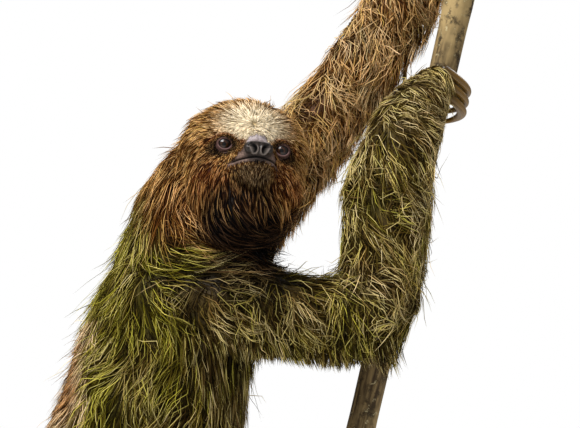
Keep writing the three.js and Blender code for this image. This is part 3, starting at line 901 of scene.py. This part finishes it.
# %% build the coat
RING_WIDTHS = (0.7, 1.0, 0.72)
TIP = 3 * STEPS
RINGS = np.arange(TIP).reshape(STEPS, 3)
AFTER = np.roll(RINGS, -1, axis=1)
QUADS = np.stack([RINGS[:-1], AFTER[:-1], AFTER[1:], RINGS[1:]], axis=-1).reshape(-1, 4).tolist()
TRIANGLES = [[a, b, TIP] for a, b in zip(RINGS[-1], AFTER[-1])] + [[0, 2, 1]]
CORNERS = np.array(sum(QUADS + TRIANGLES, []))
CORNER_COUNTS = np.array([len(face) for face in QUADS + TRIANGLES])
ALONG = np.append(np.repeat(np.arange(STEPS) / STEPS, 3), 1)
AROUND = np.append(np.tile([0, 0.5, 1], STEPS), 0.5)


def hair_vertices(path, normals, widths, turns):
    """The ten vertices of each hair: three rings of three, and the tip."""
    run = unit(np.gradient(path, axis=1))[:, :STEPS]
    side = unit(np.cross(normals[:, None], run))
    up = np.cross(run, side)
    cos_turn, sin_turn = np.cos(turns)[:, None, None], np.sin(turns)[:, None, None]
    side, up = side * cos_turn + up * sin_turn, up * cos_turn - side * sin_turn
    half = (widths[:, None] * RING_WIDTHS / 2)[:, :, None]
    rings = path[:, :STEPS, None] + np.stack([side * half, up * half, -side * half], axis=2)
    return np.concatenate([rings.reshape(len(path), -1, 3), path[:, STEPS:]], axis=1)


def build_coat(name, which):
    """One mesh of the hairs whose numbers are given."""
    vertices = hair_vertices(paths[which], root_normals[which], widths[which], turns[which])
    size, each = len(which), TIP + 1
    mesh = bpy.data.meshes.new(name)
    mesh.vertices.add(size * each)
    mesh.vertices.foreach_set("co", vertices.ravel())
    mesh.loops.add(size * len(CORNERS))
    mesh.loops.foreach_set("vertex_index", (np.arange(size)[:, None] * each + CORNERS).ravel())
    mesh.polygons.add(size * len(CORNER_COUNTS))
    starts = np.concatenate([[0], np.cumsum(np.tile(CORNER_COUNTS, size))[:-1]])
    mesh.polygons.foreach_set("loop_start", starts)
    mesh.update(calc_edges=True)
    piece = new_piece(name, mesh)
    patch = np.column_stack([AROUND, ALONG])[CORNERS] * PATCH
    layer = mesh.uv_layers.new(name="OFBake")
    layer.data.foreach_set("uv", (root_places[which][:, None] + patch).ravel())
    store(piece, "marks", np.repeat(hair_marks[which], each, axis=0))
    tone, golden = np.repeat(tones[which], each), np.repeat(golds[which], each)
    store(piece, "strand", np.column_stack([tone, np.tile(ALONG, size), golden]))
    return finish_piece(piece, name, coat_material)


widths = at_roots(hair_width) * MM * rng.uniform(0.75, 1.2, size=count) * np.where(below, 1.5, 1)
turns = rng.uniform(-0.9, 0.9, size=count)
lit_tones = rng.uniform(0.8, 1.75, size=count)
# painted shade: the dark tones of the under hairs
shaded_low_tones = rng.uniform(0.05, 0.3, size=count)
lit_tones *= np.where(rng.random(count) < 0.4, 0.38, 1)
tones = np.where(below, shaded_low_tones, lit_tones)
tones *= np.exp(rng.normal(-0.06, 0.3, size=count))[nearest_guide]
tones *= at_roots(shade)
tones += 0.4 * at_roots(marks[:, PALE] * on_head) * (1.4 - tones)
tones = np.clip(tones, 0.07, 1.75)
golds = np.clip(at_roots(gold) + 0.12 * rng.normal(size=count), 0, 1)
hair_marks = at_roots(marks) + rng.normal(size=(count, 4)) * (0.16, 0.12, 0.05, 0.06)
hair_marks = np.clip(hair_marks, 0, 1)
MOST_HAIRS = 12000
REGIONS = {"head": ["head"], "neck": ["neck"], "trunk": ["trunk", "tail"], "arm_right": ARMS[:3],
           "arm_left": ARMS[3:], "leg_right": LEGS[:3], "leg_left": LEGS[3:]}
for region, parts in REGIONS.items():
    members = np.flatnonzero(np.isin(part_of_root, [FLESH.index(part) for part in parts]))
    members = members[np.argsort(-roots[members, 2] + rng.normal(size=len(members)) * 8 * MM)]
    for number, which in enumerate(np.array_split(members, -(-len(members) // MOST_HAIRS)), 1):
        piece = build_coat(f"coat_{region}_{number}", which)
        print(piece.name, len(which), "hairs,", 16 * len(which), "triangles")

# %% [markdown]
# ## Eyes
# The eyes are dark brown, small and wet, set deep behind thick lids. Each is a ball with a slightly proud
# cornea. Its colours go by the angle from the way it looks: a small black pupil, a brown iris with fine
# rays, and a nearly black rim that fills the rest of the opening. A clear coat gives the wet gleam.

# %% the two eyes
CORNEA_RISE_MM = 0.35
GAZE = unit(np.array([0.88, -0.12, -0.40]))


def make_eye_material():
    """A wet eye: an almost mirror-smooth clear coat over a dark, softly streaked iris."""
    gloss = {"Specular_IOR_Level": 0.08, "Coat_Weight": 0.7, "Coat_Roughness": 0.05}
    material, tree, surface = new_material("wet eye", 0.6, **gloss)
    where = add(tree, "Attribute", attribute_name="iris").outputs["Vector"]
    angle = numbers(tree, "iris")[0]
    rays = add(tree, "TexNoise", {"Vector": where, "Scale": 9.0, "Detail": 4.0}).outputs["Fac"]
    cover(tree, surface, paint(tree, "#1d0f08", (rays, 0.35, 0.7, "#4a2a13"), (angle, 0.34, 0.5, "#110907"),
                               (angle, 0.27, 0.21, "#020202")))
    return material


def make_eye(side, name, material):
    centre, _ = eye_frame(side)
    ball = added(bpy.ops.mesh.primitive_uv_sphere_add, segments=48, ring_count=32, radius=1)
    way = points_of(ball)
    angle = np.arccos(np.clip(way[:, 2], -1, 1))
    reach = EYE_MM["ball"] + CORNEA_RISE_MM * bump(angle, 0.5)
    across = unit(np.cross(GAZE, (0, 0, 1)))
    axes = np.array([across, np.cross(GAZE, across), GAZE])
    set_points(ball, from_head(centre + (way * reach[:, None]) @ axes))
    store(ball, "iris", np.column_stack([angle, way[:, 0] / 2, way[:, 1] / 2]))
    return finish_piece(ball, name, material, [name])


eye_material = make_eye_material()
for side, name in ((-1, "eye_right"), (1, "eye_left")):
    print(make_eye(side, name, eye_material).name)

# %% [markdown]
# ## Nose
# The nose is a bare, wet, nearly black pad with a flat front, a groove down its middle and two
# comma-shaped nostrils; its top is paler and dry. It is shaped in the way of the head: an icosphere is
# drawn in until it meets a form.

# %% the nose pad
NOSE_MM = np.array([20.5, 0, -11.4])
NOSE_HALF_MM = (7.5, 9.8, 7.0)


def meet(a, b, width):
    """What two forms have in common, with a soft edge."""
    return -melt(-a, -b, width)


def nostril(q):
    """How far points of the pad are from a nostril's hole and from its comma-shaped tail, in their sizes."""
    y, z = np.abs(q[:, 1]), q[:, 2]
    hole = np.hypot((y - 3.8 - 0.25 * (z + 1.5)) / 1.8, (z + 1.5) / 2.2)
    return hole, np.hypot((y - 6.4) / 2.4, (z + 0.8 - 0.25 * (y - 6)) / 0.8)


def nose_form(p):
    x, y, z = q = (p - NOSE_MM).T
    form = egg(q.T, (0, 0, 0, *NOSE_HALF_MM))
    form = meet(form, 0.98 * x - 0.2 * z - 3.9, 1.6)
    form = meet(form, 0.35 * x + 0.94 * z - 4.6 + 0.02 * y ** 2, 1.3)
    form = meet(form, 0.25 * x - 0.97 * z - 4.4, 2.0)
    form = form + 0.5 * bump(y, 0.8) * fade(z, 3, 0.5) * fade(x, 0, 2)
    hole, comma = nostril(q.T)
    form = form - 0.45 * bump(hole - 1.5, 0.45) * fade(z, 1, -1.5)
    return form + 3.0 * bump(hole, 0.85) + 0.8 * bump(comma, 0.8)


def make_nose_material():
    """Wet bare skin: dark, pebbled, with a thin shining film over it; the top is dry and grey."""
    film = {"Coat_Roughness": 0.16, "Specular_IOR_Level": 0.12}
    material, tree, surface = new_material("wet nose leather", 0.55, **film)
    dry, inside, rim = numbers(tree, "pad")
    mottle = speckle(tree, 500, detail=4)
    # painted shade and highlight: the nostrils' insides are near black, and their lower rims are a painted
    # highlight
    colour = paint(tree, "#130e0c", (mottle, 0.35, 0.65, "#352c27"), (dry, 0, 1, "#766c69"),
                   (rim, 0, 1, "#94877e"), (inside, 0, 1, "#020101"))
    wet = add(tree, "MapRange", {0: inside, 3: 0.35, 4: 0.0}).outputs[0]
    tree.links.new(wet, surface.inputs["Coat Weight"])
    place = add(tree, "TexCoord").outputs["Object"]
    pebbles = add(tree, "TexVoronoi", {"Vector": place, "Scale": 1300.0}).outputs["Distance"]
    cover(tree, surface, colour, pebbles, 0.5, 0.25)
    return material


nose = added(bpy.ops.mesh.primitive_ico_sphere_add, subdivisions=6, radius=1)
rays = unit(points_of(nose) * (0.8, 1.3, 1))
travel = shrink_onto(rays, NOSE_MM, nose_form, reach=14)
pad = rays * travel[:, None]
dry = fade(pad[:, 2] + 0.3 * pad[:, 0], 3.4, 5.0)
# painted shade in the nostril holes, and a painted highlight on the rims below them
inside = fade(nostril(pad)[0], 1.3, 1.05) * (pad[:, 0] > 0)
rim = 0.6 * bump(nostril(pad)[0] - 1.55, 0.22) * (pad[:, 0] > 0) * fade(pad[:, 2], 1.0, -1.5)
store(nose, "pad", np.column_stack([dry, inside, rim]))
set_points(nose, from_head(NOSE_MM + pad))
finish_piece(nose, "nose", make_nose_material(), ["nose"])
print("nose", len(nose.data.vertices), "vertices")

# %% [markdown]
# ## The stem
# The sloth climbs a bare woody stem, about as thick as a thumb. A cylinder is cut into rings by
# subdividing its long edges. Its end faces get insets and a centre point, and are made a little smaller,
# as saw cuts with a softened edge. Then the bark is moved in and out: slow swellings, two old nodes, and
# shallow ridges that run lengthwise. The finer cracks are left to the material.

# %% the stem's own measures
PERCH_FOOT_MM = np.array([20.0, 0, 106])
PERCH_LEAN = radians(12.9)
PERCH_LENGTH_MM, PERCH_RADIUS_MM = 786, 10
PERCH_AXIS = np.array([sin(PERCH_LEAN), 0, cos(PERCH_LEAN)])
PERCH_FRONT = np.array([cos(PERCH_LEAN), 0, -sin(PERCH_LEAN)])
PERCH_SIDE = np.array([0.0, 1, 0])


def stem_radius(share):
    """The radius in millimetres at a share of the stem's length: a slow taper and two swollen nodes."""
    nodes = 0.9 * bump(share - 0.37, 0.02) + 0.8 * bump(share - 0.79, 0.02)
    return PERCH_RADIUS_MM + 0.7 * (0.5 - share) + nodes


def about_stem(along_mm, turn, radius_mm):
    """Points at a length up the stem from its foot, a turn round it and a distance from its axis."""
    return (PERCH_FOOT_MM + np.outer(along_mm, PERCH_AXIS) + np.outer(radius_mm * np.cos(turn), PERCH_FRONT)
            + np.outer(radius_mm * np.sin(turn), PERCH_SIDE))


def pick(piece, kind, wanted):
    """Opens a piece in edit mode with only those of its edges or faces selected that pass a test."""
    edit_whole(piece)
    bpy.ops.mesh.select_mode(type=kind)
    bpy.ops.mesh.select_all(action="DESELECT")
    switch_mode("OBJECT")
    for item in piece.data.edges if kind == "EDGE" else piece.data.polygons:
        item.select = bool(wanted([piece.data.vertices[v].co for v in item.vertices]))
    switch_mode("EDIT")


def is_upright(corners):
    return abs(corners[0].z - corners[1].z) > 1 * MM


def is_level(corners):
    return max(abs(corner.z - corners[0].z) for corner in corners) < 0.01 * MM


def make_bark_material():
    """Weathered bark: pale tan-grey, with lengthwise fibres, dark cracks and grey-green lichen."""
    material, tree, surface = new_material("weathered stem bark", 0.8, Specular_IOR_Level=0.3)
    place = add(tree, "TexCoord").outputs["Object"]
    place = add(tree, "Mapping", {"Vector": place, "Rotation": (0, PERCH_LEAN, 0), "Scale": (1, 1, 9)},
                vector_type="TEXTURE").outputs[0]
    fibre = add(tree, "TexNoise", {"Vector": place, "Scale": 420.0, "Detail": 6.0}).outputs["Fac"]
    spots, flecks = speckle(tree, 130, detail=6, rough=0.6), speckle(tree, 260, detail=4, rough=0.6)
    patches = speckle(tree, 28, detail=4)
    sawn, ring_at, _ = numbers(tree, "wood")
    rings = add(tree, "Math", {0: ring_at, 1: 2.6}, operation="MULTIPLY").outputs[0]
    rings = add(tree, "Math", {0: rings}, operation="FRACT").outputs[0]
    end_grain = paint(tree, "#c8a878", (rings, 0, 1, "#a07e50"))
    colour = paint(tree, "#41321e", (fibre, 0.38, 0.64, "#8c754d"), (patches, 0.45, 0.62, "#a68e60"),
                   (spots, 0.52, 0.62, "#3b2e1a"), (flecks, 0.6, 0.68, "#b9a97f"), (sawn, 0, 1, end_grain))
    cover(tree, surface, colour, fibre, 0.6, 0.6)
    return material


def has_four_corners(face):
    return len(face.vertices) == 4


# %% make the stem
perch = added(bpy.ops.mesh.primitive_cylinder_add, vertices=48, radius=1, depth=1, location=(0, 0, 0.5))
pick(perch, "EDGE", is_upright)
bpy.ops.mesh.subdivide(number_cuts=260)
pick(perch, "FACE", is_level)
bpy.ops.mesh.inset(thickness=0.08, use_individual=True)
bpy.ops.mesh.inset(thickness=0.45, use_individual=True)
bpy.ops.mesh.poke()
switch_mode("OBJECT")
apply_place(perch)
local = points_of(perch)
share, across = local[:, 2], np.linalg.norm(local[:, :2], axis=1)
around = np.arctan2(local[:, 1], local[:, 0])
at_end = np.abs(share - 0.5) > 0.4999


def bark_ripple(girth_mm, length_mm, wave_mm, seed):
    """A smooth random number over the bark, drawn on a stem of another girth and length to stretch it."""
    spots = np.column_stack([np.cos(around) * girth_mm, np.sin(around) * girth_mm, share * length_mm])
    return ripple(spots * MM, wave_mm, seed)[:, 0]


ridges, swellings = bark_ripple(12, 90, 9, 11), bark_ripple(6, PERCH_LENGTH_MM, 120, 12)
radius = stem_radius(share) + 0.22 * ridges + 0.25 * swellings
spread = across * radius * np.where(at_end, 0.93, 1)
set_points(perch, about_stem(share * PERCH_LENGTH_MM, around, spread) * MM)
store(perch, "wood", np.column_stack([at_end & (across < 0.999), across * 1.7, share]))
finish_piece(perch, "perch", make_bark_material(), ["perch"], smooth=has_four_corners)
print("stem", len(perch.data.polygons), "faces")

# %% [markdown]
# ## Claws
# Three long hooks on each hand and foot grip the stem. A claw is an oval horn that tapers as it curls round
# the stem, so its rings are worked out along that curl and joined to a closed skin. The three of one hand
# are alike, so they are one shape set side by side along the stem.

# %% claws from rings
GRIPS = {  # the height of the middle claw, where round the stem it starts, and its sense
    "right_fore": (654, -95, 1),
    "left_fore": (812, 95, -1),
    "right_hind": (146, -80, 1),
    "left_hind": (215, 80, -1),
}
CLAW_STEP_MM, CLAW_DROP_MM, CLAW_SWEEP = 7.1, 24, 178
CLAW_RINGS, CLAW_SIDES = 30, 20
CLAW_TURNS = np.linspace(0, 2 * pi, CLAW_SIDES, endpoint=False)


def claw_rings(grip, index):
    middle, start, way = grip
    share = np.linspace(0, 1, CLAW_RINGS)
    radius = PERCH_RADIUS_MM + 9 + 1.2 * np.sin(pi * share) - 7.5 * share ** 3
    height = middle + index * CLAW_STEP_MM - CLAW_DROP_MM * share ** 0.95
    along = (height - PERCH_FOOT_MM[2]) / PERCH_AXIS[2]
    route = about_stem(along, np.radians(start + way * CLAW_SWEEP * share), radius)
    taper = 1 - share ** 2.2
    run = unit(np.gradient(route, axis=0))
    wide = unit(PERCH_AXIS - run * (run @ PERCH_AXIS)[:, None])
    deep = np.cross(run, wide)
    half_wide, half_deep = 0.6 + taper * 2.65, 0.6 + taper * 3.7
    rings = (route[:, None] + wide[:, None] * np.outer(half_wide, np.cos(CLAW_TURNS))[:, :, None]
             + deep[:, None] * np.outer(half_deep, np.sin(CLAW_TURNS))[:, :, None])
    return rings * MM, share


def make_claw_material():
    """Horn: grown in layers, yellow-brown, darker at the root, streaked lengthwise, with a satin shine."""
    material, tree, surface = new_material("claw horn", 0.36, Specular_IOR_Level=0.4)
    grown = add(tree, "Attribute", attribute_name="grown").outputs["Vector"]
    along = numbers(tree, "grown")[0]
    streak = add(tree, "Mapping", {"Vector": grown, "Scale": (1.2, 14, 14)}).outputs[0]
    streak = add(tree, "TexNoise", {"Vector": streak, "Scale": 1.0, "Detail": 5.0}).outputs["Fac"]
    colour = paint(tree, "#5c4212", (streak, 0.35, 0.7, "#967029"), (along, 0.3, 0.0, "#33240c"),
                   (along, 0.75, 1.0, "#b08e42"))
    cover(tree, surface, colour, streak, 0.3, 0.2)
    return material


claw_material = make_claw_material()
for grip_name, grip in GRIPS.items():
    for number in (1, 2, 3):
        name = f"claw_{grip_name}_{number}"
        rings, share = claw_rings(grip, number - 2)
        claw = loft(name, rings)
        round_it = np.array([np.cos(CLAW_TURNS), np.sin(CLAW_TURNS)]).T
        grown = np.column_stack([np.repeat(share, CLAW_SIDES), np.tile(round_it, (CLAW_RINGS, 1))])
        store(claw, "grown", np.concatenate([grown, [[0, 0, 0], [1, 0, 0]]]))
        finish_piece(claw, name, claw_material, [name])
print("claws", len(GRIPS) * 3)

# %% [markdown]
# ## The display stand
# A museum sets such a model on a plain base. Its dark wooden board has round corners and a softly rounded
# top edge. Three socket screws hold a turned steel flange on it, from which a rod rises to the stem's foot.

# %% stand materials
BASE_MM = (400, 300, 18)
BASE_CORNER_MM, BASE_EDGE_MM = 22, 3
FLANGE_RADIUS_MM, FLANGE_MM, FLANGE_LOW_MM = 24, 5, 18.35
FLANGE_TOP_MM = FLANGE_LOW_MM + FLANGE_MM
POST_RADIUS_MM = 6
SCREW_CIRCLE_MM, SCREW_RADIUS_MM, SCREW_HEIGHT_MM = 16, 2.5, 2


def make_wood_material():
    """Dark stained beech under satin varnish: long grain, fine pores, a thin clear coat."""
    material, tree, surface = new_material("stained beech", 0.42, Coat_Weight=0.35, Coat_Roughness=0.25)
    grain = speckle(tree, 55, detail=6, stretch=(1, 12, 12), rough=0.6)
    pores = speckle(tree, 500, detail=3, stretch=(1, 9, 9))
    colour = paint(tree, "#3a281b", (grain, 0.35, 0.68, "#6b4a31"), (pores, 0.62, 0.7, "#22160e"))
    cover(tree, surface, colour, pores, 0.15, 0.2)
    return material


def make_steel_material():
    """Brushed stainless steel: fine turning marks that spread the light."""
    material, tree, surface = new_material("brushed stainless steel", 0.32, Metallic=1.0)
    turning_marks = speckle(tree, 900, detail=3, stretch=(1, 1, 14))
    rough = add(tree, "MapRange", {0: turning_marks, 3: 0.25, 4: 0.42}).outputs[0]
    tree.links.new(rough, surface.inputs["Roughness"])
    cover(tree, surface, paint(tree, "#8e9092", (turning_marks, 0, 1, "#b4b6b8")))
    return material


# %% helpers for turned and sawn pieces
def above_mm(height):
    """A test for edges and faces that lie above a height."""
    return lambda corners: min(corner.z for corner in corners) > height * MM


def bevel_edges(piece, wanted, width_mm, segments):
    pick(piece, "EDGE", wanted)
    bpy.ops.mesh.bevel(offset=width_mm * MM, segments=segments, affect="EDGES")
    switch_mode("OBJECT")


def add_cylinder(vertices, radius_mm, depth_mm, middle_mm, lean=0):
    place = {"location": [v * MM for v in middle_mm], "rotation": (0, lean, 0)}
    piece = added(bpy.ops.mesh.primitive_cylinder_add, vertices=vertices, radius=radius_mm * MM,
                  depth=depth_mm * MM, **place)
    apply_place(piece)
    return piece


def smooth_up_to(piece, degrees):
    """Smooth shading over the rounded edges, while what meets at a sharper angle stays crisp."""
    make_active(piece)
    bpy.ops.object.shade_smooth_by_angle(angle=radians(degrees))


# %% the board, the flange, the rod and the screws
board = added(bpy.ops.mesh.primitive_cube_add, size=1, location=(0, 0, BASE_MM[2] / 2 * MM))
bpy.ops.transform.resize(value=[side * MM for side in BASE_MM])
apply_place(board)
bevel_edges(board, is_upright, BASE_CORNER_MM, 12)
bevel_edges(board, above_mm(BASE_MM[2] - 1), BASE_EDGE_MM, 4)
finish_piece(board, "stand_board", make_wood_material(), ["stand_base"])
smooth_up_to(board, 35)

steel = make_steel_material()
flange_x = PERCH_FOOT_MM[0] - (PERCH_FOOT_MM[2] - BASE_MM[2]) * tan(PERCH_LEAN)
flange = add_cylinder(96, FLANGE_RADIUS_MM, FLANGE_MM, (flange_x, 0, FLANGE_LOW_MM + FLANGE_MM / 2))
bevel_edges(flange, above_mm(FLANGE_TOP_MM - 0.1), 1.2, 4)
finish_piece(flange, "stand_flange_disc", steel, ["stand_flange"])
smooth_up_to(flange, 35)

rod_length = (PERCH_FOOT_MM[2] - FLANGE_LOW_MM - 1) / PERCH_AXIS[2] + 0.5  # it starts inside the flange
middle = PERCH_FOOT_MM - PERCH_AXIS * rod_length / 2
rod = add_cylinder(64, POST_RADIUS_MM, rod_length, middle, PERCH_LEAN)
finish_piece(rod, "stand_rod", steel, ["stand_post"], smooth=has_four_corners)

screws = []
for turn in (0.5, 0.5 + 2 * pi / 3, 0.5 + 4 * pi / 3):
    place = (flange_x + SCREW_CIRCLE_MM * cos(turn), SCREW_CIRCLE_MM * sin(turn), FLANGE_TOP_MM + 0.7)
    screw = add_cylinder(24, SCREW_RADIUS_MM, SCREW_HEIGHT_MM, place)
    pick(screw, "FACE", above_mm(place[2]))
    bpy.ops.mesh.inset(thickness=0.9 * MM)
    bpy.ops.mesh.extrude_region_move(TRANSFORM_OT_translate={"value": (0, 0, -1.2 * MM)})
    switch_mode("OBJECT")
    screws.append(screw)
for screw in screws:
    screw.select_set(True)
bpy.ops.object.join()
finish_piece(bpy.context.active_object, "stand_screws", steel, smooth=lambda face: False)
print("stand flange at x", round(flange_x, 2), "mm")

# %% [markdown]
# ## Floor, light and camera
# The model stands on a pale floor before a white background. A wide soft light from above and a little to
# the left does what a bright overcast sky does, and a weak one from behind keeps the outline clear. The
# camera looks level, with a long lens, at the head and shoulders.

# %% floor, world and lights
floor = added(bpy.ops.mesh.primitive_plane_add, size=3, location=(0, 0, -0.5 * MM))
floor.name = "floor"
floor_material, floor_tree, floor_surface = new_material("matt white floor", 0.85)
floor_shade = speckle(floor_tree, 6, detail=2)
cover(floor_tree, floor_surface, paint(floor_tree, "#e6e5e2", (floor_shade, 0, 1, "#f0efec")))
floor.data.materials.append(floor_material)

world = bpy.data.worlds.new("studio")
bpy.context.scene.world = world
world.use_nodes = True
sky = world.node_tree
seen = add(sky, "LightPath").outputs["Is Camera Ray"]
strength = add(sky, "MapRange", {0: seen, 3: 0.34, 4: 1.0}).outputs[0]
sky.links.new(strength, sky.nodes["Background"].inputs["Strength"])
sky.nodes["Background"].inputs["Color"].default_value = linear("#ffffff")
bpy.context.scene.view_settings.view_transform = "Standard"


def add_light(name, place, target, size, power):
    """A square soft light at a place, turned to a target."""
    light = added(bpy.ops.object.light_add, type="AREA", location=place)
    light.name = name
    light.rotation_euler = (Vector(target) - Vector(place)).to_track_quat("-Z", "Y").to_euler()
    light.data.size, light.data.energy = size, power


CHEST = (0.0, 0.0, 0.55)
add_light("key", (-0.75, -1.15, 2.3), CHEST, 1.2, 75)
add_light("back", (0.9, 1.4, 1.8), CHEST, 1.2, 18)

# %% the camera
camera = added(bpy.ops.object.camera_add, location=(0.040, -2.230, 0.560), rotation=(pi / 2, 0, 0))
camera.data.lens, camera.data.sensor_width = 198.0, 36.0
camera.data.clip_start = 0.05
bpy.context.scene.camera = camera
